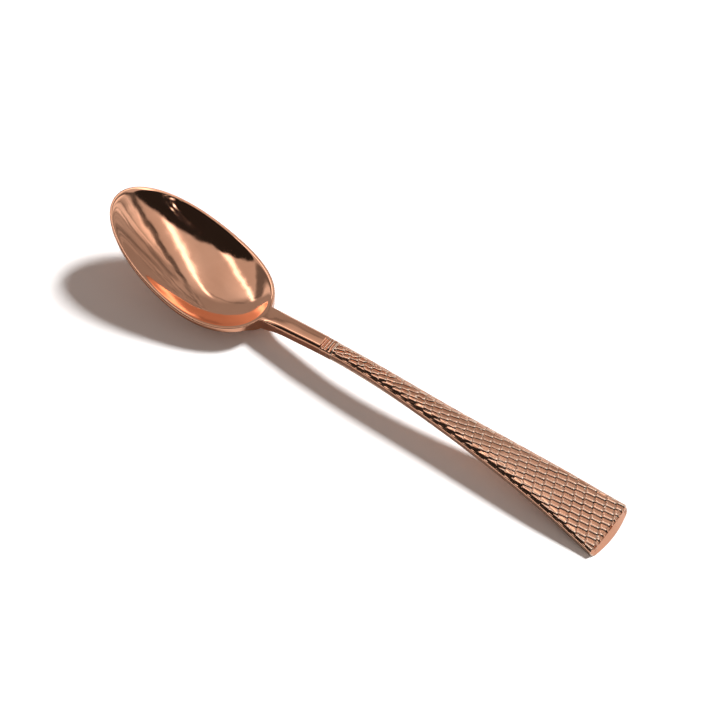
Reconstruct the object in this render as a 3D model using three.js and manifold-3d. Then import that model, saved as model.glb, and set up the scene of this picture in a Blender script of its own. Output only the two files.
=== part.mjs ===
// Dessert spoon with a mirror bowl, a beaded collar and a flared, scale-patterned handle.
// Millimetres, +Z up. The origin is on the table under the middle of the spoon, +X runs from
// the bowl's tip to the end of the handle, and the spoon lies at rest on its bowl and handle end.
import * as THREE from 'three';
import { mergeVertices } from 'three/addons/utils/BufferGeometryUtils.js';
import Module from 'manifold-3d';

const wasm = await Module();
wasm.setup();

// Plan of the spoon.
const SPOON_LENGTH = 180;
const BOWL_WIDTH = 32.4;
const BOWL_TIP_REACH = 31.2;      // from the widest place of the bowl to its tip
const BOWL_HEEL_REACH = 24.6;     // from the widest place to where its outline meets the neck
const TIP_FULLNESS = 2.04;        // 2 is an ellipse, more is squarer
const HEEL_FULLNESS = 2.12;
const NECK_WIDTH = 5.6;
const SHOULDER_BLEND = 1.2;       // size of the fillets between bowl and neck
const SHOULDER_START = 4;         // the fillets are full this far before the heel
const COLLAR_START = 77.4;        // from the bowl's tip
const COLLAR_LENGTH = 4.0;
const WAIST_WIDTH = 5.0;          // handle at its narrowest, next to the collar
const HANDLE_END_WIDTH = 19.8;
const FLARE_POWER = 1.83;
const END_CORNER_RADIUS = 2.2;
const END_BULGE = 1.0;            // how far the foot of the end wall stands out in the middle
const TOP_BULGE_SHARE = 0.8;      // how much of that bulge the top of the end wall gives up
const END_SLOPE = 0.6;            // how far the top of the end wall leans back besides

// Side view: heights of the lower edge's line above the table.
const TIP_LIFT = 21.8;
const HEEL_LIFT = 5.0;
const COLLAR_LIFT = 7.2;
const ARCH_LIFT = 8.3;
const FOOT_LENGTH = 3.0;          // flat under the end of the handle
const FOOT_DIP = 0.55;            // the line would end this far below the table

// Points between those heights, each as shares of a run and of a lift.
const RISE_BY_TIP = [0.42, 0.55];      // of the tip's reach, of the tip's lift above the heel
const RISE_BY_HEEL = [0.2, 0.145];     // of the heel's reach, of the tip's lift above the heel
const ARCH_TOP = [0.17, 1];            // of the handle's run, of the arch's lift
const ARCH_FALL = [[0.4, 0.9], [0.64, 0.66], [0.82, 0.365]];

// Sections.
const RIM_THICKNESS = 2.0;
const RIM_LAND = 0.75;            // narrow flat rim around the hollow
const BOWL_WALL = 2.5;            // where the bowl is deepest
const HOLLOW_FULLNESS = 2.0;      // 2 is a parabola, more is flatter with steeper sides
const HEEL_SOFTNESS = 0.7;        // how gently the bowl's back runs into the neck
const NECK_THICKNESS = 2.9;       // side walls, without the crown of the top
const NECK_CROWN = 0.9;           // height of the flat top above the side walls
const CROWN_START = 3;            // the crown begins this far before the heel
const CROWN_FULL = 0.42;          // and is full at this share of the neck's length
const BACK_BLEND_START = 6;       // the back's run into the neck begins this far before the heel
const BACK_BLEND_END = 0.56;      // and ends at this share of the neck's length
const BACK_BLEND_WIDTH = 1.5;     // in widths of the neck, to each side
const HANDLE_END_THICKNESS = 2.0; // includes the dip that the flat foot cuts off
const THIN_FROM = 0.45;           // share of the handle's run where it is down to that thickness
const WAIST_CROWN = 1.3;
const HANDLE_CROWN = 1.9;
const END_CROWN = 1.0;
const CROWN_GROWTH = 30;          // the crown rises over this length from the collar
const CROWN_FALL = 40;            // and is lower again over this length to the end
const SHOULDER_SLOPE = 1.15;      // the shoulders beside the flat top fall this steeply
const SHOULDER_ROUND = 0.5;       // how softly they run into it
const BEAD_DEPTH = 0.25;
const BEAD_COUNT = 3;
const BEAD_FADE_POWER = 3;        // how sharply the beads fade at the collar's sides
const TANG_WIDTH = 2.6;
const TANG_THICKNESS = 1.3;
const TANG_LENGTH = 18.0;         // from the end of the neck
const TANG_ROOT = 3;              // how deep it is rooted in the neck
const TANG_RISE = 0.3;            // above the middle of the neck's side walls
const TANG_FULLNESS = 4;          // section: 2 is an ellipse, more is squarer
const TANG_CLEARANCE = 0.3;
const JOINT_GAP = 0.3;
const CUT_OVERRUN = 1;            // the socket's cut starts this far outside the face it enters

// Fineness of the faceted solids.
const BOWL_RINGS = 50;
const HANDLE_RINGS = 40;
const COLLAR_RINGS = 14;
const CORNER_RINGS = 6;
const COLUMNS = 14;
const TANG_RINGS = 10;
const TANG_SIDES = 16;
const KEEL_STEP = 0.25;
const MERGE_DISTANCE = 1e-4;

const BOWL_COLOR = 0xedab8e;
const COLLAR_COLOR = 0xe8a588;
const HANDLE_COLOR = 0xe4a084;
const BOWL_ROUGHNESS = 0.08;
const COLLAR_ROUGHNESS = 0.12;
const HANDLE_ROUGHNESS = 0.2;

const TIP_X = -SPOON_LENGTH / 2;
const END_X = SPOON_LENGTH / 2;
const BOWL_X = TIP_X + BOWL_TIP_REACH;
const HEEL_X = BOWL_X + BOWL_HEEL_REACH;
const NECK_END_X = TIP_X + COLLAR_START;
const COLLAR_END_X = NECK_END_X + COLLAR_LENGTH;
const NECK_RUN = NECK_END_X - HEEL_X;
const HANDLE_RUN = END_X - COLLAR_END_X;
const FOOT_X = END_X - FOOT_LENGTH;

// A natural cubic spline through a few [x, y] points.
function splineThrough(points) {
  const n = points.length;
  const h = points.slice(1).map((p, i) => p[0] - points[i][0]);
  const bend = new Array(n).fill(0);
  const diagonal = new Array(n).fill(1);
  for (let i = 1; i < n - 1; i++) {
    const rise = (points[i + 1][1] - points[i][1]) / h[i] - (points[i][1] - points[i - 1][1]) / h[i - 1];
    const carry = i > 1 ? h[i - 1] / diagonal[i - 1] : 0;
    diagonal[i] = 2 * (h[i - 1] + h[i]) - carry * h[i - 1];
    bend[i] = 6 * rise - carry * bend[i - 1];
  }
  for (let i = n - 2; i > 0; i--) bend[i] = (bend[i] - h[i] * bend[i + 1]) / diagonal[i];
  return (x) => {
    let i = 0;
    while (i < n - 2 && x > points[i + 1][0]) i++;
    const a = (points[i + 1][0] - x) / h[i];
    const b = 1 - a;
    const curve = ((a ** 3 - a) * bend[i] + (b ** 3 - b) * bend[i + 1]) * h[i] ** 2 / 6;
    return a * points[i][1] + b * points[i + 1][1] + curve;
  };
}

// 0 below the start, 1 above the end, smooth between.
function ramp(x, start, end) {
  const t = Math.min(1, Math.max(0, (x - start) / (end - start)));
  return t * t * (3 - 2 * t);
}

function softMax(a, b, size) {
  return (a + b + Math.sqrt((a - b) ** 2 + size ** 2)) / 2;
}

// Line of the lower edge, from the tip of the bowl to the end of the handle.
const tipLiftAt = (share) => THREE.MathUtils.lerp(HEEL_LIFT, TIP_LIFT, share);
const lowerLine = splineThrough([
  [TIP_X, TIP_LIFT],
  [BOWL_X - RISE_BY_TIP[0] * BOWL_TIP_REACH, tipLiftAt(RISE_BY_TIP[1])],
  [BOWL_X + RISE_BY_HEEL[0] * BOWL_HEEL_REACH, tipLiftAt(RISE_BY_HEEL[1])],
  [HEEL_X, HEEL_LIFT],
  [NECK_END_X, COLLAR_LIFT],
  ...[ARCH_TOP, ...ARCH_FALL].map(([run, lift]) => [COLLAR_END_X + run * HANDLE_RUN, lift * ARCH_LIFT]),
  [FOOT_X, 0],
  [END_X, -FOOT_DIP],
]);

function underHeight(x) {
  return Math.max(0, lowerLine(x));
}

// Thickness of the side wall.
function sideThickness(x) {
  const body = RIM_THICKNESS + (NECK_THICKNESS - RIM_THICKNESS) * ramp(x, BOWL_X, NECK_END_X);
  const thinning = ramp(x, COLLAR_END_X, COLLAR_END_X + THIN_FROM * HANDLE_RUN);
  return body + (HANDLE_END_THICKNESS - NECK_THICKNESS) * thinning;
}

function edgeHeight(x) {
  return lowerLine(x) + sideThickness(x);
}

// Half of the bowl's own outline at x: a superellipse, 0 outside it.
function bowlReach(x) {
  const reach = x < BOWL_X ? BOWL_TIP_REACH : BOWL_HEEL_REACH;
  const fullness = x < BOWL_X ? TIP_FULLNESS : HEEL_FULLNESS;
  const along = Math.min(1, Math.abs(x - BOWL_X) / reach);
  return (BOWL_WIDTH / 2) * (1 - along ** fullness) ** (1 / fullness);
}

// 0 in the middle of the bowl, 1 on its outline inset by a margin.
function bowlRadius(x, y, inset) {
  const reach = (x < BOWL_X ? BOWL_TIP_REACH : BOWL_HEEL_REACH) - inset;
  const fullness = x < BOWL_X ? TIP_FULLNESS : HEEL_FULLNESS;
  const along = Math.abs(x - BOWL_X) / reach;
  const across = Math.abs(y) / (BOWL_WIDTH / 2 - inset);
  return (along ** fullness + across ** fullness) ** (1 / fullness);
}

// Half of the spoon's width at x, before the handle's end corners are rounded.
function halfWidth(x) {
  if (x > COLLAR_END_X) {
    const flare = ((x - COLLAR_END_X) / HANDLE_RUN) ** FLARE_POWER;
    return THREE.MathUtils.lerp(WAIST_WIDTH, HANDLE_END_WIDTH, flare) / 2;
  }
  if (x < BOWL_X) return bowlReach(x);
  const neck = THREE.MathUtils.lerp(NECK_WIDTH, WAIST_WIDTH, ramp(x, HEEL_X, COLLAR_END_X)) / 2;
  return softMax(bowlReach(x), neck, SHOULDER_BLEND * ramp(x, BOWL_X, HEEL_X - SHOULDER_START));
}

// 1 in the middle of the bowl, 0 outside it, rounded over where the softness asks.
function dish(radius, softness = 0) {
  return softMax(0, 1 - radius ** HOLLOW_FULLNESS, softness);
}

// Softness of the bowl's back where it runs into the neck.
function heelSoftness(x, y) {
  const before = ramp(x, BOWL_X, HEEL_X - BACK_BLEND_START);
  const after = 1 - ramp(x, HEEL_X, HEEL_X + BACK_BLEND_END * NECK_RUN);
  const beside = 1 - ramp(Math.abs(y), NECK_WIDTH / 2, NECK_WIDTH * BACK_BLEND_WIDTH);
  return HEEL_SOFTNESS * before * after * beside;
}

function backDish(x, y) {
  return dish(bowlRadius(x, y, 0), heelSoftness(x, y));
}

// The bowl sinks as deep as lets its underside just touch the table.
function deepestDrop() {
  let drop = Infinity;
  for (let x = TIP_X + KEEL_STEP; x < HEEL_X; x += KEEL_STEP) {
    drop = Math.min(drop, underHeight(x) / backDish(x, 0));
  }
  return drop;
}
const BOWL_DROP = deepestDrop();

// Height of a flat-topped section above its side walls, at a distance in from its edge.
function shoulder(inset, crown) {
  const joined = -softMax(-SHOULDER_SLOPE * inset, -crown, SHOULDER_ROUND);
  return joined + softMax(0, -crown, SHOULDER_ROUND);
}

// Across runs from -1 to 1 over the width.
function neckCrown(x, across) {
  const grown = ramp(x, HEEL_X - CROWN_START, HEEL_X + CROWN_FULL * NECK_RUN);
  return grown * shoulder((1 - Math.abs(across)) * halfWidth(x), NECK_CROWN);
}

function bowlTop(x, y, across) {
  const depth = BOWL_DROP + sideThickness(x) - BOWL_WALL;
  return edgeHeight(x) + neckCrown(x, across) - depth * dish(bowlRadius(x, y, RIM_LAND));
}

function bowlUnder(x, y) {
  return underHeight(x) - BOWL_DROP * backDish(x, y);
}

// Closed ring at x: along the top from -Y to +Y, back along the underside. The two shifts move
// its top and underside along X.
function sectionRing(x, half, top, under, topShift = () => 0, underShift = () => 0) {
  const across = [];
  for (let i = 0; i <= COLUMNS; i++) across.push(Math.sin((i / COLUMNS - 0.5) * Math.PI));
  const above = across.map((a) => [x + topShift(a), a * half, top(x, a * half, a)]);
  const below = across.map((a) => [x + underShift(a), a * half, under(x, a * half)]);
  return [...above, ...below.reverse()];
}

// Skin over a row of equal rings, closed at both ends by a strip from top to underside.
function loftGeometry(rings) {
  const size = rings[0].length;
  const points = rings.flat();
  const faces = [];
  for (let i = 0; i < rings.length - 1; i++) {
    for (let j = 0; j < size; j++) {
      const a = i * size + j;
      const b = i * size + (j + 1) % size;
      faces.push(a, a + size, b, b, a + size, b + size);
    }
  }
  const last = (rings.length - 1) * size;
  for (let j = 0; j < size / 2 - 1; j++) {
    const back = size - 1 - j;
    faces.push(j, j + 1, back, j + 1, back - 1, back);
    faces.push(last + j, last + back, last + j + 1, last + j + 1, last + back, last + back - 1);
  }
  const geometry = new THREE.BufferGeometry();
  geometry.setAttribute('position', new THREE.Float32BufferAttribute(points.flat(), 3));
  geometry.setIndex(faces);
  return mergeVertices(geometry, MERGE_DISTANCE);
}

function toManifold(geometry) {
  const vertProperties = new Float32Array(geometry.attributes.position.array);
  const triVerts = new Uint32Array(geometry.index.array);
  return new wasm.Manifold(new wasm.Mesh({ numProp: 3, vertProperties, triVerts }));
}

function toGeometry(solid) {
  const mesh = solid.getMesh();
  const geometry = new THREE.BufferGeometry();
  geometry.setAttribute('position', new THREE.Float32BufferAttribute(mesh.vertProperties, 3));
  geometry.setIndex(Array.from(mesh.triVerts));
  return geometry;
}

// The tang lies at about the middle of the neck's thickness.
function tangHeight(x) {
  return edgeHeight(x) - NECK_THICKNESS / 2 + TANG_RISE;
}

// A bar of rounded-oblong section that follows the tang's line.
function tangBar(startX, endX, width, thickness) {
  const rings = [];
  for (let i = 0; i <= TANG_RINGS; i++) {
    const x = THREE.MathUtils.lerp(startX, endX, i / TANG_RINGS);
    const ring = [];
    for (let j = 0; j < TANG_SIDES; j++) {
      const turn = Math.PI - (2 * Math.PI * j) / TANG_SIDES;
      const [c, s] = [Math.cos(turn), Math.sin(turn)];
      const reach = (Math.abs(c) ** TANG_FULLNESS + Math.abs(s) ** TANG_FULLNESS) ** (-1 / TANG_FULLNESS);
      ring.push([x, reach * c * width / 2, tangHeight(x) + reach * s * thickness / 2]);
    }
    rings.push(ring);
  }
  return loftGeometry(rings);
}

function bowlGeometry() {
  const rings = [];
  const run = NECK_END_X - TIP_X;
  for (let i = 1; i <= BOWL_RINGS; i++) {
    const x = TIP_X + run * (1 - Math.cos((i / BOWL_RINGS) * Math.PI / 2));
    rings.push(sectionRing(x, halfWidth(x), bowlTop, bowlUnder));
  }
  const tang = tangBar(NECK_END_X - TANG_ROOT, NECK_END_X + TANG_LENGTH, TANG_WIDTH, TANG_THICKNESS);
  return toGeometry(toManifold(loftGeometry(rings)).add(toManifold(tang)));
}

// Beads across the top of the collar, fading out at its sides.
function collarTop(x, y, across) {
  const along = (x - NECK_END_X) / COLLAR_LENGTH;
  const wave = (1 - Math.cos(2 * Math.PI * BEAD_COUNT * along)) / 2;
  const fade = 1 - Math.abs(across) ** BEAD_FADE_POWER;
  const crown = THREE.MathUtils.lerp(NECK_CROWN, WAIST_CROWN, ramp(x, NECK_END_X, COLLAR_END_X));
  const rise = shoulder((1 - Math.abs(across)) * halfWidth(x), crown);
  return edgeHeight(x) + rise - BEAD_DEPTH * (1 - wave) * fade;
}

// The tang's socket, cut inwards from a face.
function socketCut(faceX) {
  const bore = TANG_WIDTH + 2 * TANG_CLEARANCE;
  const height = TANG_THICKNESS + 2 * TANG_CLEARANCE;
  const endX = NECK_END_X + TANG_LENGTH + TANG_CLEARANCE;
  return toManifold(tangBar(faceX - CUT_OVERRUN, endX, bore, height));
}

function collarGeometry() {
  const rings = [];
  const startX = NECK_END_X + JOINT_GAP;
  const endX = COLLAR_END_X - JOINT_GAP;
  for (let i = 0; i <= COLLAR_RINGS; i++) {
    const x = THREE.MathUtils.lerp(startX, endX, i / COLLAR_RINGS);
    rings.push(sectionRing(x, halfWidth(x), collarTop, underHeight));
  }
  return toGeometry(toManifold(loftGeometry(rings)).subtract(socketCut(startX)));
}

// The corners of the handle's end are rounded in plan.
function handleHalfWidth(x) {
  const past = x - (END_X - END_CORNER_RADIUS);
  if (past <= 0) return halfWidth(x);
  return halfWidth(x) - END_CORNER_RADIUS + Math.sqrt(Math.max(0, END_CORNER_RADIUS ** 2 - past ** 2));
}

function crownHeight(x) {
  const grown = ramp(x, COLLAR_END_X, COLLAR_END_X + CROWN_GROWTH);
  const fallen = ramp(x, END_X - CROWN_FALL, END_X);
  return WAIST_CROWN + (HANDLE_CROWN - WAIST_CROWN) * grown + (END_CROWN - HANDLE_CROWN) * fallen;
}

function handleTop(x, y, across) {
  return edgeHeight(x) + shoulder((1 - Math.abs(across)) * handleHalfWidth(x), crownHeight(x));
}

// Towards the foot the ring's foot bulges out and its top leans back.
function handleRing(x) {
  const share = ramp(x, FOOT_X, END_X);
  const foot = (across) => -share * END_BULGE * across ** 2;
  const lean = (across) => END_BULGE * (1 - across ** 2) * TOP_BULGE_SHARE + END_SLOPE;
  const top = (across) => foot(across) - share * lean(across);
  return sectionRing(x, handleHalfWidth(x), handleTop, underHeight, top, foot);
}

function handleGeometry() {
  const rings = [];
  const cornerX = END_X - END_CORNER_RADIUS;
  for (let i = 0; i < HANDLE_RINGS; i++) {
    rings.push(handleRing(THREE.MathUtils.lerp(COLLAR_END_X, cornerX, i / HANDLE_RINGS)));
  }
  for (let i = 0; i <= CORNER_RINGS; i++) {
    const turn = (i / CORNER_RINGS) * Math.PI / 2;
    rings.push(handleRing(cornerX + END_CORNER_RADIUS * Math.sin(turn)));
  }
  return toGeometry(toManifold(loftGeometry(rings)).subtract(socketCut(COLLAR_END_X)));
}

function metal(color, roughness) {
  return new THREE.MeshStandardMaterial({ color, roughness, metalness: 1 });
}

function piece(name, geometry, material) {
  const mesh = new THREE.Mesh(geometry, material);
  mesh.name = name;
  return mesh;
}

const group = new THREE.Group();
group.add(piece('bowl', bowlGeometry(), metal(BOWL_COLOR, BOWL_ROUGHNESS)));
group.add(piece('collar', collarGeometry(), metal(COLLAR_COLOR, COLLAR_ROUGHNESS)));
group.add(piece('handle', handleGeometry(), metal(HANDLE_COLOR, HANDLE_ROUGHNESS)));

export default group;
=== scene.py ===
"""Rose-gold dessert spoon: mirror bowl, beaded collar and a flared handle covered in raised scales.

The CAD frame places the pieces and gives their main sizes; the other sizes are those of the CAD.
All shape functions work in millimetres and the meshes are scaled to metres as they are made.
"""

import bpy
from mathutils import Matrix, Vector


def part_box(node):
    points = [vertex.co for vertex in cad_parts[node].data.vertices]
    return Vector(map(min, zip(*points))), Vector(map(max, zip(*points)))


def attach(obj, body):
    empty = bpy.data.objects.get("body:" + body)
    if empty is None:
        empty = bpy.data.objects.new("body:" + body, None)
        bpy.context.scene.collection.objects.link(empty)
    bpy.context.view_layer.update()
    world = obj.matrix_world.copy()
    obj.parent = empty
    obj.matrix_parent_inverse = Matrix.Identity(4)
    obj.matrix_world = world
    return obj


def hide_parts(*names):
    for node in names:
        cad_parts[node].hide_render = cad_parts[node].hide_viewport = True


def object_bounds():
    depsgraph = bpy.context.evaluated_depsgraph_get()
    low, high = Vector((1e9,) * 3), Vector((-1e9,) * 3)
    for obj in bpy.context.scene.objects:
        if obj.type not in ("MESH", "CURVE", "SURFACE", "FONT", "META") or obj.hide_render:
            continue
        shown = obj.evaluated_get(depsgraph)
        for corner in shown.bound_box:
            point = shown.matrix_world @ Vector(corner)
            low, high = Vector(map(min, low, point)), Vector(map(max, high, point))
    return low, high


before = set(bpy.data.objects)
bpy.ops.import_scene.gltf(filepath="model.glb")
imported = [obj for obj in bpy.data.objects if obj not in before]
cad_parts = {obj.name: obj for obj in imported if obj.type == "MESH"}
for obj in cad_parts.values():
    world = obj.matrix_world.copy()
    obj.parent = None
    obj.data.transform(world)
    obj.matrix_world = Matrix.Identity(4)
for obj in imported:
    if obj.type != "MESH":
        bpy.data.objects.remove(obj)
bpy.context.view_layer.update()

import math

import bpy
import numpy as np
from mathutils import Vector

MM = 0.001  # millimetres to metres


def box_mm(node):
    low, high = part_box(node)
    return np.array(low) / MM, np.array(high) / MM


# ---------------------------------------------------------------- sizes, from the frame
bowl_low, bowl_high = box_mm("bowl")
collar_low, collar_high = box_mm("collar")
_, handle_high = box_mm("handle")

CAD_GAP = 0.3                      # what the CAD solids keep between them
SEAM = 0.02                        # what shows between the finished pieces
SPOON_LENGTH = round(handle_high[0] - bowl_low[0])
TIP_X = -SPOON_LENGTH / 2
END_X = SPOON_LENGTH / 2
BOWL_WIDTH = bowl_high[1] - bowl_low[1]
NECK_END_X = collar_low[0] - CAD_GAP
COLLAR_END_X = collar_high[0] + CAD_GAP
COLLAR_LENGTH = COLLAR_END_X - NECK_END_X
HANDLE_RUN = END_X - COLLAR_END_X

# plan
BOWL_TIP_REACH = 31.2              # widest place of the bowl to its tip
BOWL_HEEL_REACH = 24.6             # widest place to where its outline meets the neck
TIP_FULLNESS = 2.04                # 2 is an ellipse, more is squarer
HEEL_FULLNESS = 2.12
NECK_WIDTH = 5.6
SHOULDER_BLEND = 1.2               # size of the fillets between bowl and neck
SHOULDER_START = 4                 # the fillets are full this far before the heel
WAIST_WIDTH = 5.0
HANDLE_END_WIDTH = 19.8
FLARE_POWER = 1.83
END_CORNER_RADIUS = 2.2
END_BULGE = 1.0
END_SLOPE = 0.6                    # how far the top of the end wall leans back
TOP_BULGE_SHARE = 0.8              # how much of the bulge the top of the end wall gives up

# side view
TIP_LIFT = 21.8
HEEL_LIFT = 5.0
COLLAR_LIFT = 7.2
ARCH_LIFT = 8.3
FOOT_LENGTH = 3.0
FOOT_DIP = 0.55                    # the line would end this far below the table
RISE_BY_TIP = (0.42, 0.55)         # of the tip's reach, of the tip's lift above the heel
RISE_BY_HEEL = (0.2, 0.145)        # of the heel's reach, of the tip's lift above the heel
ARCH_TOP = (0.17, 1)               # of the handle's run, of the arch's lift
ARCH_FALL = ((0.4, 0.9), (0.64, 0.66), (0.82, 0.365))

# sections
RIM_THICKNESS = 2.0
RIM_LAND = 0.75
RIM_ROUND = 0.62
HOLLOW_ROUND = 0.05                # softness of the edge between rim and hollow
BOWL_WALL = 2.5
HOLLOW_FULLNESS = 2.0
HOLLOW_RUN_OUT = 4                 # past the heel the top gains half of that over this length
HEEL_SOFTNESS = 0.7                # how gently the bowl's back runs into the neck
BACK_BLEND_START = 6               # that softness is full this far before the heel
BACK_BLEND_END = 0.56              # and gone at this share of the neck's length
BACK_BLEND_WIDTH = 1.5             # or this many neck widths to the side
KEEL_STEP = 0.25                   # between the places where the bowl's drop is measured
NECK_THICKNESS = 2.9
NECK_CROWN = 0.9                   # height of the flat top above the side walls
CROWN_START = 3                    # the crown begins this far before the heel
CROWN_FULL = 0.42                  # and is full at this share of the neck's length
NECK_ROUND = 0.3
HANDLE_END_THICKNESS = 2.0
WAIST_CROWN = 1.3
HANDLE_CROWN = 1.9
HANDLE_ROUND = 0.25
END_CROWN = 1.0
CROWN_GROWTH = 30                  # the crown rises over this length from the collar
CROWN_FALL = 40                    # and falls over this length to the end
SHOULDER_SLOPE = 1.15              # the shoulders beside the flat top fall this steeply
SHOULDER_ROUND = 0.5               # how softly they run into it
THIN_FROM = 0.45                   # share of the handle's run by which it is as thin as its end
TANG_WIDTH = 2.6
TANG_THICKNESS = 1.3
TANG_LENGTH = 18.0
TANG_FULLNESS = 4                  # section: 2 is an ellipse, more is squarer
TANG_SIDE = 0.96                   # under 1, so that its sides are narrow walls, not sharp edges
TANG_TIP = 0.3                     # the tip is smaller over this length
TANG_TAPER = 0.6                   # by this much
SOCKET_SLACK = 0.1                 # the socket is this much wider and taller than the tang

BOWL_X = TIP_X + BOWL_TIP_REACH
HEEL_X = BOWL_X + BOWL_HEEL_REACH
NECK_RUN = NECK_END_X - HEEL_X
FOOT_X = END_X - FOOT_LENGTH


# ---------------------------------------------------------------- helpers
def spline_through(points):
    """A natural cubic spline through a few (x, y) points."""
    xs, ys = np.array(points, dtype=float).T
    n = len(xs)
    h = np.diff(xs)
    system = np.eye(n)
    right = np.zeros(n)
    for i in range(1, n - 1):
        system[i, i - 1:i + 2] = h[i - 1], 2 * (h[i - 1] + h[i]), h[i]
        right[i] = 6 * ((ys[i + 1] - ys[i]) / h[i] - (ys[i] - ys[i - 1]) / h[i - 1])
    bend = np.linalg.solve(system, right)

    def value(x):
        x = np.asarray(x, dtype=float)
        i = np.clip(np.searchsorted(xs, x) - 1, 0, n - 2)
        a = (xs[i + 1] - x) / h[i]
        b = 1 - a
        curve = ((a ** 3 - a) * bend[i] + (b ** 3 - b) * bend[i + 1]) * h[i] ** 2 / 6
        return a * ys[i] + b * ys[i + 1] + curve

    return value


def ramp(x, start, end):
    t = np.clip((np.asarray(x, dtype=float) - start) / (end - start), 0, 1)
    return t * t * (3 - 2 * t)


def soft_max(a, b, size):
    return (a + b + np.sqrt((a - b) ** 2 + size ** 2)) / 2


def shoulder(inset, crown):
    """Height of a flat-topped section at a distance in from its edge."""
    rise = SHOULDER_SLOPE * inset
    size = SHOULDER_ROUND
    joined = (rise + crown - np.sqrt((rise - crown) ** 2 + size ** 2)) / 2
    return joined - (crown - np.sqrt(crown ** 2 + size ** 2)) / 2


def mix(a, b, share):
    return a + (b - a) * share


def round_over(distance, radius):
    """How far a rounded edge has dropped at a distance in from it."""
    inside = np.clip(radius - distance, 0, radius)
    return radius - np.sqrt(np.maximum(radius ** 2 - inside ** 2, 0))


# ---------------------------------------------------------------- the spoon's shape
def tip_lift_at(share):
    return HEEL_LIFT + share * (TIP_LIFT - HEEL_LIFT)


lower_line = spline_through([
    (TIP_X, TIP_LIFT),
    (BOWL_X - RISE_BY_TIP[0] * BOWL_TIP_REACH, tip_lift_at(RISE_BY_TIP[1])),
    (BOWL_X + RISE_BY_HEEL[0] * BOWL_HEEL_REACH, tip_lift_at(RISE_BY_HEEL[1])),
    (HEEL_X, HEEL_LIFT),
    (NECK_END_X, COLLAR_LIFT),
    *((COLLAR_END_X + run * HANDLE_RUN, lift * ARCH_LIFT)
      for run, lift in (ARCH_TOP, *ARCH_FALL)),
    (FOOT_X, 0),
    (END_X, -FOOT_DIP),
])


def under_height(x):
    return np.maximum(0, lower_line(x))


def side_thickness(x):
    body = mix(RIM_THICKNESS, NECK_THICKNESS, ramp(x, BOWL_X, NECK_END_X))
    thinning = ramp(x, COLLAR_END_X, COLLAR_END_X + THIN_FROM * HANDLE_RUN)
    return body + (HANDLE_END_THICKNESS - NECK_THICKNESS) * thinning


def edge_height(x):
    return lower_line(x) + side_thickness(x)


def bowl_radius(x, y, inset):
    """0 in the middle of the bowl, 1 on its outline inset by a margin."""
    toward_tip = x < BOWL_X
    reach = np.where(toward_tip, BOWL_TIP_REACH, BOWL_HEEL_REACH) - inset
    fullness = np.where(toward_tip, TIP_FULLNESS, HEEL_FULLNESS)
    along = np.abs(x - BOWL_X) / reach
    across = np.abs(y) / (BOWL_WIDTH / 2 - inset)
    return (along ** fullness + across ** fullness) ** (1 / fullness)


def bowl_reach(x):
    toward_tip = x < BOWL_X
    reach = np.where(toward_tip, BOWL_TIP_REACH, BOWL_HEEL_REACH)
    fullness = np.where(toward_tip, TIP_FULLNESS, HEEL_FULLNESS)
    along = np.clip(np.abs(x - BOWL_X) / reach, 0, 1)
    return BOWL_WIDTH / 2 * (1 - along ** fullness) ** (1 / fullness)


def half_width(x):
    x = np.asarray(x, dtype=float)
    flare = np.clip((x - COLLAR_END_X) / HANDLE_RUN, 0, 1) ** FLARE_POWER
    handle = mix(WAIST_WIDTH, HANDLE_END_WIDTH, flare) / 2
    neck = mix(NECK_WIDTH, WAIST_WIDTH, ramp(x, HEEL_X, COLLAR_END_X)) / 2
    blend = SHOULDER_BLEND * ramp(x, BOWL_X, HEEL_X - SHOULDER_START)
    body = np.where(x < BOWL_X, bowl_reach(x), soft_max(bowl_reach(x), neck, blend))
    return np.where(x > COLLAR_END_X, handle, body)


def edge_distance(x, y):
    """Distance in from the outline, near enough close to it."""
    step, least_radius, least_slope = 0.01, 1e-6, 1e-3
    slope = (half_width(x + step) - half_width(x - step)) / (2 * step)
    beside = (half_width(x) - np.abs(y)) / np.sqrt(1 + slope ** 2)
    radius = np.maximum(bowl_radius(x, y, 0), least_radius)
    along = (bowl_radius(x + step, y, 0) - bowl_radius(x - step, y, 0)) / (2 * step)
    across = (bowl_radius(x, y + step, 0) - bowl_radius(x, y - step, 0)) / (2 * step)
    within = (1 - radius) / np.maximum(np.hypot(along, across), least_slope)
    return np.maximum(np.where(x < BOWL_X, within, beside), 0)


def dish(radius, softness=0.0):
    return soft_max(0, 1 - radius ** HOLLOW_FULLNESS, softness)


def back_dish(x, y):
    past_heel = ramp(x, HEEL_X, HEEL_X + BACK_BLEND_END * NECK_RUN)
    along = ramp(x, BOWL_X, HEEL_X - BACK_BLEND_START) * (1 - past_heel)
    beside = 1 - ramp(np.abs(y), NECK_WIDTH / 2, NECK_WIDTH * BACK_BLEND_WIDTH)
    return dish(bowl_radius(x, y, 0), HEEL_SOFTNESS * along * beside)


# The bowl sinks as deep as lets its underside just touch the table.
keel = np.arange(TIP_X + KEEL_STEP, HEEL_X, KEEL_STEP)
BOWL_DROP = float(np.min(under_height(keel) / back_dish(keel, 0 * keel)))


def edge_round(x):
    return mix(RIM_ROUND, NECK_ROUND, ramp(x, BOWL_X, HEEL_X))


def bowl_top(x, y, across):
    grown = ramp(x, HEEL_X - CROWN_START, HEEL_X + CROWN_FULL * NECK_RUN)
    crown = grown * shoulder((1 - np.abs(across)) * half_width(x), NECK_CROWN)
    depth = BOWL_DROP + side_thickness(x) - BOWL_WALL
    hollow = depth * dish(bowl_radius(x, y, RIM_LAND), HOLLOW_ROUND)
    hollow = hollow - depth * HOLLOW_ROUND / 2 * ramp(x, HEEL_X, HEEL_X + HOLLOW_RUN_OUT)
    return edge_height(x) + crown - hollow - round_over(edge_distance(x, y), edge_round(x))


def bowl_under(x, y):
    rounded = round_over(edge_distance(x, y), edge_round(x))
    return under_height(x) - BOWL_DROP * back_dish(x, y) + rounded


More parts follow.
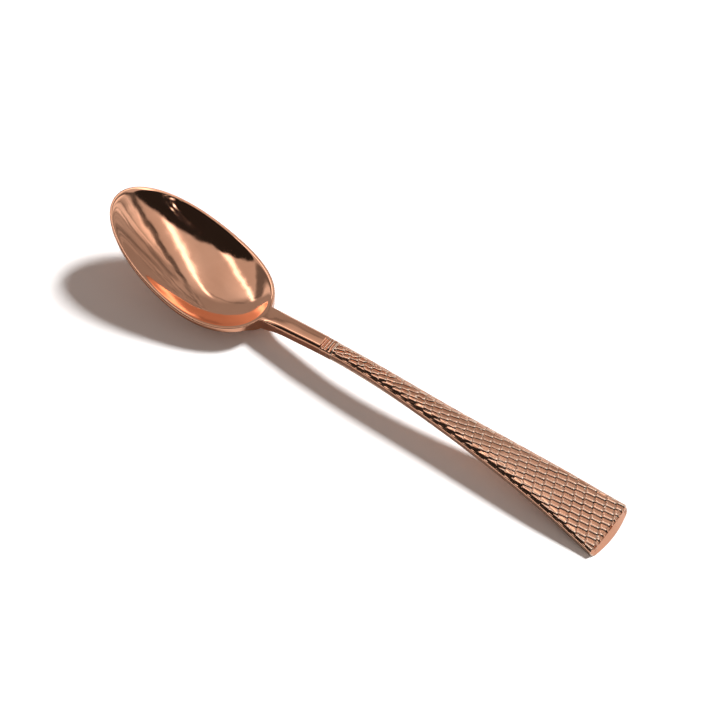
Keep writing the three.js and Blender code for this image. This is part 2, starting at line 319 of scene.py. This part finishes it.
# ---------------------------------------------------------------- scales on the handle
SCALE_LONG = (2.95, 1.10)          # from one scale to the next along the handle
SCALE_WIDE = (0.65, -1.75)         # and to the next across it, towards -Y
GROOVE_TURN = 0.312                # grooves lie this much flatter than the rows step
SCALE_LENGTH = 3.15                # these two only set where its edges roll off
SCALE_WIDTH = 1.80
COLLAR_SCALE_SIZE = 0.72           # scales beside the collar, against those at the end
SCALE_GROWTH_POWER = 0.8
SCALE_STEP = 0.52                  # height of the step at a scale's near side and at its right end
SIDE_ROLL = ((0, 0.27, 0.60), (1, 0.3, 0))    # in from those sides: places, share of the step
END_ROLL = ((0, 0.20, 0.55), (0.8, 0.2, 0))
SCALE_CORNER = 0.7
LONG_TILT = 0.3                    # share of a scale's rise that is towards +X
STEP_SHRINK_POWER = 0.7            # small scales have lower steps
DEEPEST = 1.5                      # in steps
ROLL_SHARE = 0.6                   # how much less a scale's low side has to roll off

# The pattern is wild near the collar and regular towards the end.
WILD_START = 5                     # from the collar
WILD_END = 0.62                    # of the handle's run
DRIFT = (0.07, 0.34)               # how far scales stray, at the end and beside the collar
DRIFT_LONG = 1.5                   # straying along the handle against that across it
LONG_DRIFT_PERIOD = (1.9, 1.4)
WIDE_DRIFT_PERIOD = (1.7, 1.3)
LEAN = 0.25                        # how unevenly high the scales are
WILD_LEAN = 0.35
WILD_PILLOW = 0.35                 # how rounded they are beside the collar
HASH_STEPS = (127.1, 311.7, 74.7)
HASH_SCALE = 43758.5453

# How much of the pattern shows near the edges of the top, by distances in from them.
SHOULDER_RELIEF = 0.4              # on the shoulders, against the flat top
RELIEF_FULL = (0.7, 1.5)
RELIEF_EDGE = (0.1, 0.5)
RELIEF_END = (0.05, 0.4)
RELIEF_START = 0.5

# Scales grow towards the end, so their places are counted in steps of changing length.
SIZE_SAMPLES = 400
SIZE_OVERRUN = 2                   # beyond both ends of the handle

size_x = np.linspace(COLLAR_END_X - SIZE_OVERRUN, END_X + SIZE_OVERRUN, SIZE_SAMPLES)
size_share = np.clip((size_x - COLLAR_END_X) / HANDLE_RUN, 0, 1)
size_of_scale = mix(COLLAR_SCALE_SIZE, 1.0, size_share ** SCALE_GROWTH_POWER)
steps_along = np.concatenate([[0], np.cumsum(np.diff(size_x) / size_of_scale[1:])])
steps_along = steps_along - steps_along[-1]


def hashed(i, j, seed):
    """An even random number from 0 to 1 for each whole-numbered cell."""
    by_i, by_j, by_seed = HASH_STEPS
    mixed = np.sin(i * by_i + j * by_j + seed * by_seed) * HASH_SCALE
    return mixed - np.floor(mixed)


def soft_noise(x, y, seed):
    """Smooth noise from -1 to 1 with a period of about one unit."""
    i, j = np.floor(x), np.floor(y)
    u, v = x - i, y - j
    u, v = u * u * (3 - 2 * u), v * v * (3 - 2 * v)
    low = mix(hashed(i, j, seed), hashed(i + 1, j, seed), u)
    high = mix(hashed(i, j + 1, seed), hashed(i + 1, j + 1, seed), u)
    return 2 * mix(low, high, v) - 1


def scale_relief(x, y):
    """Depth of the pattern below its crests: each scale rises towards -Y and +X, then rolls off."""
    size = np.interp(x, size_x, size_of_scale)
    wild = 1 - ramp(x, COLLAR_END_X + WILD_START, COLLAR_END_X + WILD_END * HANDLE_RUN)
    shift = mix(*DRIFT, wild)
    u = np.interp(x, size_x, steps_along)
    v = y / size
    long_drift = soft_noise(u / LONG_DRIFT_PERIOD[0], v / LONG_DRIFT_PERIOD[1], seed=1)
    wide_drift = soft_noise(u / WIDE_DRIFT_PERIOD[0], v / WIDE_DRIFT_PERIOD[1], seed=2)
    u = u + DRIFT_LONG * shift * long_drift
    v = v + shift * wide_drift
    det = SCALE_LONG[0] * SCALE_WIDE[1] - SCALE_LONG[1] * SCALE_WIDE[0]
    p = (u * SCALE_WIDE[1] - v * SCALE_WIDE[0]) / det
    q = (v * SCALE_LONG[0] - u * SCALE_LONG[1]) / det
    column = np.floor(p)
    along = p - column
    q = q - GROOVE_TURN * (along - 0.5)
    row = np.floor(q)
    across = q - row
    right = (1 - along) * SCALE_LENGTH
    near = (1 - across) * SCALE_WIDTH
    corner = SCALE_CORNER
    cut = corner - np.hypot(np.maximum(corner - right, 0), np.maximum(corner - near, 0))
    in_corner = (right < corner) & (near < corner)
    near = np.where(in_corner, np.minimum(near, cut), near)
    right = np.where(in_corner, np.minimum(right, cut), right)
    roll = np.maximum(np.interp(near, *SIDE_ROLL), np.interp(right, *END_ROLL))
    tilt = 1 - mix(across, along, LONG_TILT)
    lean = LEAN * (hashed(column, row, seed=3) - 0.5)
    lean = lean + WILD_LEAN * wild * (hashed(column, row, seed=4) - 0.5)
    pillow = WILD_PILLOW * wild * (1 - np.sin(math.pi * across))
    drop = tilt + roll * (1 - ROLL_SHARE * tilt) + lean + pillow
    return SCALE_STEP * size ** STEP_SHRINK_POWER * np.clip(drop, 0, DEEPEST)


def handle_half_width(x):
    past = np.clip(x - (END_X - END_CORNER_RADIUS), 0, END_CORNER_RADIUS)
    return half_width(x) - END_CORNER_RADIUS + np.sqrt(END_CORNER_RADIUS ** 2 - past ** 2)


def crown_height(x):
    risen = mix(WAIST_CROWN, HANDLE_CROWN, ramp(x, COLLAR_END_X, COLLAR_END_X + CROWN_GROWTH))
    return risen + (END_CROWN - HANDLE_CROWN) * ramp(x, END_X - CROWN_FALL, END_X)


def handle_top(x, across, half, patterned):
    """Top of the handle; patterned is where the point really lies, after the end's bulge."""
    inset = (1 - np.abs(across)) * half
    crown = shoulder(inset, crown_height(x))
    beside = mix(SHOULDER_RELIEF, 1.0, ramp(inset, *RELIEF_FULL)) * ramp(inset, *RELIEF_EDGE)
    started = ramp(x, COLLAR_END_X, COLLAR_END_X + RELIEF_START)
    shown = beside * ramp(END_X - x, *RELIEF_END) * started
    relief = scale_relief(patterned, across * half) * shown
    return edge_height(x) + crown - relief - round_over(inset, HANDLE_ROUND)


COLLAR_BEADS = (                   # place along the collar, half width, height, all in mm
    (0.35, 0.22, 0.44),
    (1.35, 0.24, 0.32),
    (2.45, 0.36, 0.54),
    (3.75, 0.26, 0.44),
)
COLLAR_SINK = 0.44                 # the ground between the beads lies this much lower
BEAD_FADE = (0.2, 1.1)             # the beads fade out between these distances in from the sides


def collar_top(x, across):
    along = x - NECK_END_X
    height = sum(rise * np.exp(-((along - place) / width) ** 2)
                 for place, width, rise in COLLAR_BEADS)
    inset = (1 - np.abs(across)) * half_width(x)
    fade = ramp(inset, *BEAD_FADE)
    crown = shoulder(inset, mix(NECK_CROWN, WAIST_CROWN, ramp(along, 0, COLLAR_LENGTH)))
    return edge_height(x) + crown - (COLLAR_SINK - height) * fade - round_over(inset, NECK_ROUND)


# ---------------------------------------------------------------- meshes
BOWL_COLUMNS = 150
BOWL_RINGS = 240
BOWL_FIRST = 0.02                  # share of the sweep at the first ring; the CAD starts there too
COLLAR_COLUMNS = 60
COLLAR_RINGS = 90
HANDLE_COLUMNS = 144               # between the closely set ones at its edges
EDGE_SHARE = 0.03                  # of the half width, taken up by those
HANDLE_EDGE_COLUMNS = 6
HANDLE_RINGS = 460
CORNER_RINGS = 22
TANG_RINGS = 12
SOCKET_RINGS = 8
UNDER_STRIDE = 4                   # the handle's underside has a quarter of the top's columns


def loft(rings, top_count, closed=False):
    """Vertices and faces of a skin over equal rings, its ends closed by strips.

    The first top_count points of a ring are its top; its underside may have fewer, evenly spread.
    """
    rings = np.asarray(rings)
    count, size, _ = rings.shape
    faces = []
    first = np.arange(count if closed else count - 1) * size
    for start in first:
        after = (start + size) % (count * size)
        here = np.arange(size)
        there = (here + 1) % size
        faces.append(np.stack([start + here, after + here, after + there, start + there], 1))
    faces = np.concatenate(faces).tolist()
    if not closed:
        last = (count - 1) * size
        under_count = size - top_count
        stride = (top_count - 1) // (under_count - 1)
        for k in range(under_count - 1):
            above = list(range(k * stride, (k + 1) * stride + 1))
            strip = above + [size - 2 - k, size - 1 - k]
            faces.append(strip)
            faces.append([last + i for i in reversed(strip)])
    return rings.reshape(-1, 3), faces


def make_piece(name, rings, top_count, material, replaces, closed=False):
    points, faces = loft(rings, top_count, closed)
    mesh = bpy.data.meshes.new(name)
    mesh.from_pydata((points * MM).tolist(), [], faces)
    mesh.validate()
    mesh.polygons.foreach_set("use_smooth", [True] * len(mesh.polygons))
    mesh.update()
    piece = bpy.data.objects.new(name, mesh)
    bpy.context.scene.collection.objects.link(piece)
    mesh.materials.append(material)
    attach(piece, "root")
    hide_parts(replaces)
    return piece


def ring_at(x_top, x_under, y, z_top, z_under, stride=1):
    """Closed ring: along the top from -Y to +Y and back along the underside."""
    top = np.stack([x_top + 0 * y, y, z_top], 1)
    under = np.stack([x_under + 0 * y, y, z_under], 1)[::-stride]
    return np.concatenate([top, under])


def tang_middle(x):
    return edge_height(x) - NECK_THICKNESS / 2 + NECK_CROWN / 3


def tang_ring(x, across, width, thickness, stride=1):
    rise = thickness / 2 * (1 - TANG_SIDE * across ** TANG_FULLNESS) ** (1 / TANG_FULLNESS)
    middle = tang_middle(x)
    return ring_at(x, x, across * width / 2, middle + rise, middle - rise, stride)


def edge_dense(count):
    """From -1 to 1, close together at both ends."""
    return np.sin((np.arange(count + 1) / count - 0.5) * math.pi)


def bowl_rings():
    across = edge_dense(BOWL_COLUMNS)
    run = NECK_END_X - SEAM - TIP_X
    rings = []
    for share in np.linspace(BOWL_FIRST, 1, BOWL_RINGS):
        x = TIP_X + run * (1 - math.cos(share * math.pi / 2))
        y = across * half_width(x)
        at = np.full_like(y, x)
        rings.append(ring_at(x, x, y, bowl_top(at, y, across), bowl_under(at, y)))
    end = NECK_END_X - SEAM
    for x in np.linspace(end, NECK_END_X + TANG_LENGTH - TANG_TIP, TANG_RINGS):
        rings.append(tang_ring(x, across, TANG_WIDTH, TANG_THICKNESS))
    width, thickness = TANG_WIDTH - TANG_TAPER, TANG_THICKNESS - TANG_TAPER
    rings.append(tang_ring(NECK_END_X + TANG_LENGTH, across, width, thickness))
    return rings


def collar_rings():
    across = edge_dense(COLLAR_COLUMNS)
    start, end = NECK_END_X + SEAM, COLLAR_END_X - SEAM
    rings = []
    for x in np.linspace(start, end, COLLAR_RINGS):
        half = half_width(x)
        at = np.full_like(across, x)
        inset = (1 - np.abs(across)) * half
        under = under_height(x) + round_over(inset, NECK_ROUND)
        rings.append(ring_at(x, x, across * half, collar_top(at, across), under))
    bore, height = TANG_WIDTH + SOCKET_SLACK, TANG_THICKNESS + SOCKET_SLACK
    for x in np.linspace(end, start, SOCKET_RINGS):
        rings.append(tang_ring(x, across, bore, height))
    return rings


def handle_across():
    """Even over the pattern, close together at the edges."""
    edge = 1 - EDGE_SHARE * np.linspace(0, 1, HANDLE_EDGE_COLUMNS + 1)[:-1] ** 2
    middle = np.linspace(-(1 - EDGE_SHARE), 1 - EDGE_SHARE, HANDLE_COLUMNS + 1)
    return np.concatenate([-edge, middle, edge[::-1]])


def handle_rings():
    across = handle_across()
    start = COLLAR_END_X + SEAM
    corner_x = END_X - END_CORNER_RADIUS
    along = np.linspace(start, corner_x, HANDLE_RINGS)
    corner = corner_x + END_CORNER_RADIUS * np.sin(np.linspace(0, math.pi / 2, CORNER_RINGS))[1:]
    rings = []
    socket_end = NECK_END_X + TANG_LENGTH + CAD_GAP
    bore, height = TANG_WIDTH + SOCKET_SLACK, TANG_THICKNESS + SOCKET_SLACK
    rings.append(tang_ring(socket_end, across, bore - TANG_TAPER, height - TANG_TAPER,
                           UNDER_STRIDE))
    for x in np.linspace(socket_end, start, SOCKET_RINGS):
        rings.append(tang_ring(x, across, bore, height, UNDER_STRIDE))
    for x in np.concatenate([along, corner]):
        half = handle_half_width(x)
        share = ramp(x, FOOT_X, END_X)
        x_under = x - END_BULGE * across ** 2 * share
        x_top = x_under - (END_BULGE * (1 - across ** 2) * TOP_BULGE_SHARE + END_SLOPE) * share
        end_drop = round_over(END_X - x, HANDLE_ROUND)
        top = handle_top(np.full_like(across, x), across, half, x_top) - end_drop
        inset = (1 - np.abs(across)) * half
        under = under_height(x) + round_over(inset, HANDLE_ROUND) + end_drop
        rings.append(ring_at(x_top, x_under, across * half, top, under, UNDER_STRIDE))
    return rings


# ---------------------------------------------------------------- node arithmetic
class Field:
    """A value in a node tree; ordinary arithmetic on it adds math nodes."""

    def __init__(self, tree, socket):
        self.tree, self.socket = tree, socket

    def plug(self, value, target):
        if isinstance(value, Field):
            self.tree.links.new(value.socket, target)
        else:
            target.default_value = value

    def math(self, operation, *values):
        node = self.tree.nodes.new("ShaderNodeMath")
        node.operation = operation
        for value, target in zip(values, node.inputs):
            self.plug(value, target)
        return Field(self.tree, node.outputs[0])

    def __add__(self, other):
        return self.math("ADD", self, other)

    __radd__ = __add__

    def __sub__(self, other):
        return self.math("SUBTRACT", self, other)

    def __rsub__(self, other):
        return self.math("SUBTRACT", other, self)

    def __mul__(self, other):
        return self.math("MULTIPLY", self, other)

    __rmul__ = __mul__

    def __truediv__(self, other):
        return self.math("DIVIDE", self, other)

    def at_least(self, other):
        return self.math("MAXIMUM", self, other)

    def size(self):
        return self.math("ABSOLUTE", self)

    def rise(self, start, end):
        """0 at the start, 1 at the end, smooth between; the end may be the lower number."""
        node = self.tree.nodes.new("ShaderNodeMapRange")
        node.interpolation_type = "SMOOTHSTEP"
        self.plug(self, node.inputs["Value"])
        low, high = sorted((start, end))
        node.inputs["From Min"].default_value = low
        node.inputs["From Max"].default_value = high
        node.inputs["To Min"].default_value = 0 if start < end else 1
        node.inputs["To Max"].default_value = 1 if start < end else 0
        return Field(self.tree, node.outputs["Result"])

    def between(self, low, high, soft):
        """1 between two values, 0 outside them, with soft edges."""
        return self.rise(low - soft, low + soft) * self.rise(high + soft, high - soft)

    def hump(self, width):
        """1 at zero, falling off to both sides like a bell."""
        return self.math("EXPONENT", (self / width) * (self / width) * -1)


def dot(tree, vector, direction):
    node = tree.nodes.new("ShaderNodeVectorMath")
    node.operation = "DOT_PRODUCT"
    tree.links.new(vector, node.inputs[0])
    node.inputs[1].default_value = tuple(direction)
    return Field(tree, node.outputs["Value"])


# ---------------------------------------------------------------- materials
COOL_PATCH = (0.80, 0.385, 0.235, 1)
WARM_PATCH = (0.89, 0.46, 0.295, 1)
# lighter edges: partly wear, partly a painted highlight
WORN_EDGE_AND_HIGHLIGHT = (1.0, 0.76, 0.60, 1)
# darker grooves: partly ageing, partly painted shade
AGED_GROOVE_AND_SHADE = (0.22, 0.085, 0.05, 1)
EDGE_BEND = (0.502, 0.53)          # Pointiness where the wear and painted highlight start and are full; flat is 0.5
GROOVE_BEND = (0.498, 0.46)
GROOVE_SHARE = 0.85
END_WALL = (1.4, 1.8)              # wear and painted highlight on edges, ageing and painted shade in grooves, are gone and full this far before the end
WIPING_TINT = 0.2                  # how much of the patches comes from the wiping marks
SCRATCH_HAZE = 0.10
BRUSHED_HAZE = 0.12
LINE_DEPTH = 0.004                 # of scratches and brushing, in mm

# Noise in features per millimetre, and the values between which it fades in.
PATCH_SCALE, PATCH_FADE = 0.06, (0.3, 0.7)
WIPING_SCALE, WIPING_FADE = 0.35, (0.35, 0.75)
HAIRLINE_SCALE, HAIRLINE_FADE = 9.0, (0.62, 0.78)
CROSSING_SCALE, CROSSING_FADE = 7.0, (0.66, 0.8)
GRAIN_SCALE = 6.0
WAVE_SCALE = 0.11


def new_material(name):
    material = bpy.data.materials.new(name)
    material.use_nodes = True
    material.node_tree.nodes.clear()
    return material, material.node_tree


def noise(tree, vector, scale, detail=2.0, distortion=0.0, stretch=(1, 1, 1)):
    """Noise from 0 to 1 over a vector; scale counts its features per millimetre."""
    mapping = tree.nodes.new("ShaderNodeMapping")
    mapping.inputs["Scale"].default_value = [scale / MM * s for s in stretch]
    tree.links.new(vector, mapping.inputs["Vector"])
    node = tree.nodes.new("ShaderNodeTexNoise")
    node.inputs["Scale"].default_value = 1
    node.inputs["Detail"].default_value = detail
    node.inputs["Distortion"].default_value = distortion
    tree.links.new(mapping.outputs["Vector"], node.inputs["Vector"])
    return Field(tree, node.outputs["Fac"])


def bump(tree, height, distance_mm, normal=None):
    node = tree.nodes.new("ShaderNodeBump")
    node.inputs["Distance"].default_value = distance_mm * MM
    tree.links.new(height.socket, node.inputs["Height"])
    if normal is not None:
        tree.links.new(normal, node.inputs["Normal"])
    return node.outputs["Normal"]


def blended(tree, color, other, share):
    node = tree.nodes.new("ShaderNodeMix")
    node.data_type = "RGBA"
    tree.links.new(color, node.inputs[6])
    node.inputs[7].default_value = other
    tree.links.new(share.socket, node.inputs[0])
    return node.outputs[2]


def rose_gold(name, roughness, haze, waviness, scratches, brushed):
    """Rose-gold plating: warm patches, hazy wiping marks, hairline scratches and a slight waviness.

    Brushed adds fine lines along the spoon, as left in the faces of the scales. Pieces that have
    them also have edges painted lighter, partly wear and partly a painted highlight, and grooves
    painted darker, partly ageing and partly painted shade.
    """
    material, tree = new_material(name)
    place = tree.nodes.new("ShaderNodeTexCoord").outputs["Object"]
    patches = noise(tree, place, PATCH_SCALE, detail=3)
    wiping = noise(tree, place, WIPING_SCALE, detail=4, distortion=1.5, stretch=(0.4, 1, 1))
    hairlines = noise(tree, place, HAIRLINE_SCALE, detail=2, stretch=(0.06, 1, 1))
    crossing = noise(tree, place, CROSSING_SCALE, detail=2, stretch=(1, 0.07, 1))
    lines = hairlines.rise(*HAIRLINE_FADE).at_least(crossing.rise(*CROSSING_FADE))

    tint = tree.nodes.new("ShaderNodeMix")
    tint.data_type = "RGBA"
    tint.inputs[6].default_value = COOL_PATCH
    tint.inputs[7].default_value = WARM_PATCH
    warmth = patches.rise(*PATCH_FADE) * (1 - WIPING_TINT) + wiping * WIPING_TINT
    tree.links.new(warmth.socket, tint.inputs[0])
    color = tint.outputs[2]
    if brushed:
        bend = Field(tree, tree.nodes.new("ShaderNodeNewGeometry").outputs["Pointiness"])
        off_wall = dot(tree, place, (1 / MM, 0, 0)).rise(END_X - END_WALL[0], END_X - END_WALL[1])
        # convex edges painted lighter: partly wear, partly a painted highlight
        edges = bend.rise(*EDGE_BEND) * off_wall
        color = blended(tree, color, WORN_EDGE_AND_HIGHLIGHT, edges)
        # concave grooves painted darker: partly ageing, partly painted shade
        grooves = bend.rise(*GROOVE_BEND) * GROOVE_SHARE * off_wall
        color = blended(tree, color, AGED_GROOVE_AND_SHADE, grooves)

    grain = noise(tree, place, GRAIN_SCALE, detail=3, stretch=(0.1, 1, 1))
    rough = roughness + haze * wiping.rise(*WIPING_FADE)
    rough = rough + SCRATCH_HAZE * scratches * lines + BRUSHED_HAZE * brushed * grain
    normal = bump(tree, noise(tree, place, WAVE_SCALE, detail=1.5), waviness)
    normal = bump(tree, lines * -1 * scratches + grain * brushed, LINE_DEPTH, normal)

    shader = tree.nodes.new("ShaderNodeBsdfPrincipled")
    shader.inputs["Metallic"].default_value = 1
    tree.links.new(color, shader.inputs["Base Color"])
    tree.links.new(rough.socket, shader.inputs["Roughness"])
    tree.links.new(normal, shader.inputs["Normal"])
    out = tree.nodes.new("ShaderNodeOutputMaterial")
    tree.links.new(shader.outputs["BSDF"], out.inputs["Surface"])
    return material


bowl_metal = rose_gold("polished_rose_gold", roughness=0.035, haze=0.05, waviness=0.10,
                       scratches=0.25, brushed=0)
collar_metal = rose_gold("collar_rose_gold", roughness=0.08, haze=0.06, waviness=0.02,
                         scratches=0.4, brushed=0.3)
handle_metal = rose_gold("scaled_rose_gold", roughness=0.09, haze=0.06, waviness=0.02,
                         scratches=0.4, brushed=1)

make_piece("spoon_bowl", bowl_rings(), BOWL_COLUMNS + 1, bowl_metal,
           "bowl")
make_piece("spoon_collar", collar_rings(), COLLAR_COLUMNS + 1, collar_metal,
           "collar", closed=True)
make_piece("spoon_handle", handle_rings(), len(handle_across()), handle_metal,
           "handle")

# ---------------------------------------------------------------- stage
CAMERA_ELEVATION = math.radians(57.0)
CAMERA_TURN = math.radians(35.5)   # the spoon's axis turned from the picture's horizontal
CAMERA_DISTANCE = 4.0 * SPOON_LENGTH * MM
CAMERA_LENS = 119.9
AIM = Vector((-4.3, 6.6, 0.0)) * MM            # what the camera points at

FLOOR_HALF = 1.5
FLOOR_GAP = 0.00002                # between the floor and the spoon
# the floor's colour is a painted pool of light: light near the middle, darker further out
FLOOR_PAINTED_POOL = (0.55, 0.19)          # metres from the middle where the painted pool of light is darkest and lightest
FLOOR_FAR_SHADE = 0.25
FLOOR_NEAR_SHADE = 0.90
FLOOR_PAINTED_SHADE_IN_REFLECTIONS = 0.4         # painted shade: how much darker the floor is in reflections
FLOOR_FILL = 0.30                  # the world's light on the floor
FLOOR_FILL_COLOR = (1.0, 0.80, 0.71, 1)
WALL_DARK = 0.03                   # the world in reflections: on the camera's side
WALL_GAIN = 0.40                   # and this much more elsewhere
WALL_EDGE = (-0.55, -0.25)

LAMP_HEIGHT = 0.80                 # the reflected soft box above the middle of the bowl, in metres
LAMP_HALF = 4                      # half its side, in its own heights
AROUND_BOX = 0.16                  # strengths of its parts
AROUND_STREAKS = 0.34
BOX_GAIN = 0.40
BOX_STREAK_LOSS = 0.30
LEFT_GLOW = 0.34
RIGHT_GLOW = 0.18
LINE_LIGHT = 2.2
LEFT_PANE = 0.5
RIGHT_PANE = 0.8
LEFT_FRAME_LOSS = 0.55
RIGHT_FRAME_LOSS = 0.65
ARC_LOSS = 0.4
FLAG_LIGHT = 0.022
SPOT_LIGHT = 8
SPOTS = ((0.33, -0.90, 0.015), (0.40, -0.80, 0.010), (0.22, -0.80, 0.005))    # p, q, half width


def from_view(right, away, up):
    """A direction given as seen from the camera's side: right, away from it, and up."""
    x = right * math.cos(CAMERA_TURN) - away * math.sin(CAMERA_TURN)
    y = right * math.sin(CAMERA_TURN) + away * math.cos(CAMERA_TURN)
    return Vector((x, y, up)).normalized()


def add_camera():
    data = bpy.data.cameras.new("camera")
    data.lens = CAMERA_LENS
    data.sensor_width = 36
    data.clip_start = 0.01
    data.clip_end = 20
    camera = bpy.data.objects.new("camera", data)
    toward = from_view(0, -math.cos(CAMERA_ELEVATION), math.sin(CAMERA_ELEVATION))
    camera.location = AIM + toward * CAMERA_DISTANCE
    camera.rotation_euler = (-toward).to_track_quat("-Z", "Y").to_euler()
    bpy.context.scene.collection.objects.link(camera)
    bpy.context.scene.camera = camera


def square(name, half, order):
    """A flat square; the order of its corners says which side is the front."""
    mesh = bpy.data.meshes.new(name)
    corners = [(-half, -half, 0), (half, -half, 0), (half, half, 0), (-half, half, 0)]
    mesh.from_pydata(corners, [], [order])
    return bpy.data.objects.new(name, mesh)


def add_floor():
    floor = square("floor", FLOOR_HALF, (0, 1, 2, 3))
    floor.location.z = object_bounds()[0][2] - FLOOR_GAP
    material, tree = new_material("floor")
    out = tree.nodes.new("ShaderNodeOutputMaterial")
    shader = tree.nodes.new("ShaderNodeBsdfDiffuse")
    place = tree.nodes.new("ShaderNodeTexCoord").outputs["Object"]
    reach = tree.nodes.new("ShaderNodeVectorMath")
    reach.operation = "LENGTH"
    tree.links.new(place, reach.inputs[0])
    # painted pool of light: the floor is lighter near the middle
    near = Field(tree, reach.outputs["Value"]).rise(*FLOOR_PAINTED_POOL)
    shade = near * (FLOOR_NEAR_SHADE - FLOOR_FAR_SHADE) + FLOOR_FAR_SHADE
    # painted shade: the floor is darker where it is seen in reflections
    reflected = Field(tree, tree.nodes.new("ShaderNodeLightPath").outputs["Is Glossy Ray"])
    shade = shade * (1 - FLOOR_PAINTED_SHADE_IN_REFLECTIONS * reflected)
    gray = tree.nodes.new("ShaderNodeCombineColor")
    for channel in gray.inputs:
        tree.links.new(shade.socket, channel)
    tree.links.new(gray.outputs["Color"], shader.inputs["Color"])
    tree.links.new(shader.outputs["BSDF"], out.inputs["Surface"])
    floor.data.materials.append(material)
    bpy.context.scene.collection.objects.link(floor)


def add_area(name, direction, distance, size, power):
    data = bpy.data.lights.new(name, "AREA")
    data.shape = "SQUARE"
    data.size = size
    data.energy = power
    light = bpy.data.objects.new(name, data)
    light.location = direction * distance
    light.rotation_euler = (-direction).to_track_quat("-Z", "Y").to_euler()
    bpy.context.scene.collection.objects.link(light)
    return light


def emission(tree, strength, color=(1, 1, 1)):
    node = tree.nodes.new("ShaderNodeEmission")
    node.inputs["Color"].default_value = (*color, 1)
    tree.links.new(strength.socket, node.inputs["Strength"])
    return node.outputs["Emission"]


def add_soft_box():
    """A big window-like soft box overhead, bright towards its edges, seen only in reflections.

    Places on it are given in its own heights above the bowl: p to the right and q away from the
    camera. It ends in a dark flag on the camera's side.
    """
    panel = square("soft_box", LAMP_HALF * LAMP_HEIGHT, (3, 2, 1, 0))
    panel.location = (BOWL_X * MM, 0, LAMP_HEIGHT + HEEL_LIFT * MM)
    panel.rotation_euler.z = CAMERA_TURN
    panel.visible_camera = False
    panel.visible_shadow = False
    panel.visible_diffuse = False
    bpy.context.scene.collection.objects.link(panel)

    material, tree = new_material("soft_box")
    panel.data.materials.append(material)
    place = tree.nodes.new("ShaderNodeTexCoord").outputs["Object"]
    wobble = noise(tree, place, 0.0045, detail=3) - 0.5
    ripple = noise(tree, place, 0.028, detail=3) - 0.5
    p = dot(tree, place, (1 / LAMP_HEIGHT, 0, 0)) + 0.16 * wobble + 0.012 * ripple
    q = dot(tree, place, (0, 1 / LAMP_HEIGHT, 0)) + 0.10 * wobble - 0.012 * ripple

    box = p.between(-1.0, 0.93, 0.04) * q.rise(1.2, 0.7)
    from_left = p + 0.42 * q + 0.48
    left_line = from_left.hump(0.085) * q.rise(1.5, 1.2)
    left_glow = from_left.rise(-0.08, 0.05) * from_left.rise(0.7, 0.0)
    right_line = (p + (q - 0.4).at_least(0) * 0.5 - 0.6).hump(0.065) * q.rise(0.95, 0.7)
    right_glow = (p - 0.6).hump(0.22) * q.rise(0.9, 0.5)
    left_frame = p.between(-1.42, -1.06, 0.06) * q.rise(1.4, 1.2)
    right_frame = p.between(0.95, 1.08, 0.03) * q.rise(0.8, 0.6)
    left_pane = p.rise(-1.45, -1.6) * q.between(0.1, 1.4, 0.25) * p.rise(-3.5, -2.0)
    right_pane = p.between(1.1, 2.2, 0.06) * q.rise(0.7, 0.3)
    arc = (q - 0.86 + 0.6 * p).hump(0.05) * p.between(-0.7, 0.4, 0.1)
    streaks = noise(tree, place, 0.006, detail=3, distortion=0.6, stretch=(1, 0.35, 1))
    streaks = 0.5 + (streaks.rise(0.25, 0.75) - 0.5) * p.rise(0.7, 1.0)
    light = AROUND_BOX + AROUND_STREAKS * streaks + (BOX_GAIN - BOX_STREAK_LOSS * streaks) * box
    light = light + LEFT_GLOW * left_glow * box * q.rise(-0.8, 0.6)
    light = light + LINE_LIGHT * left_line + LINE_LIGHT * right_line
    light = light + RIGHT_GLOW * right_glow + LEFT_PANE * left_pane
    light = light + RIGHT_PANE * streaks * right_pane
    light = light * (1 - LEFT_FRAME_LOSS * left_frame) * (1 - RIGHT_FRAME_LOSS * right_frame)
    light = light * (1 - ARC_LOSS * arc)
    past_flag = (q - 0.30 * p.size() + 0.08 * p.at_least(0)).rise(-0.68, -0.61)
    light = light * past_flag + FLAG_LIGHT
    for place_p, place_q, width in SPOTS:
        inside = (p - place_p).size().rise(width * 1.2, width * 0.8)
        light = light + SPOT_LIGHT * inside * (q - place_q).size().rise(width * 1.6, width)
    out = tree.nodes.new("ShaderNodeOutputMaterial")
    tree.links.new(emission(tree, light), out.inputs["Surface"])


def add_world():
    """Pale walls low down, dark on the camera's side; dimmer and warmer for the floor."""
    world = bpy.data.worlds.new("studio")
    bpy.context.scene.world = world
    world.use_nodes = True
    tree = world.node_tree
    tree.nodes.clear()
    direction = tree.nodes.new("ShaderNodeTexCoord").outputs["Generated"]
    away = dot(tree, direction, from_view(0, 1, 0))
    walls = WALL_DARK + WALL_GAIN * away.rise(*WALL_EDGE)
    shown = tree.nodes.new("ShaderNodeBackground")
    tree.links.new(walls.socket, shown.inputs["Strength"])
    filling = tree.nodes.new("ShaderNodeBackground")
    filling.inputs["Color"].default_value = FLOOR_FILL_COLOR
    filling.inputs["Strength"].default_value = FLOOR_FILL
    by_ray = tree.nodes.new("ShaderNodeMixShader")
    rays = tree.nodes.new("ShaderNodeLightPath")
    tree.links.new(rays.outputs["Is Diffuse Ray"], by_ray.inputs[0])
    tree.links.new(shown.outputs["Background"], by_ray.inputs[1])
    tree.links.new(filling.outputs["Background"], by_ray.inputs[2])
    out = tree.nodes.new("ShaderNodeOutputWorld")
    tree.links.new(by_ray.outputs["Shader"], out.inputs["Surface"])


add_camera()
add_floor()
add_world()
add_soft_box()
key = add_area("key", from_view(0.69, 0.57, 1.0), distance=1.4, size=0.26, power=31)
key.visible_glossy = False
bpy.context.scene.view_settings.view_transform = "Standard"
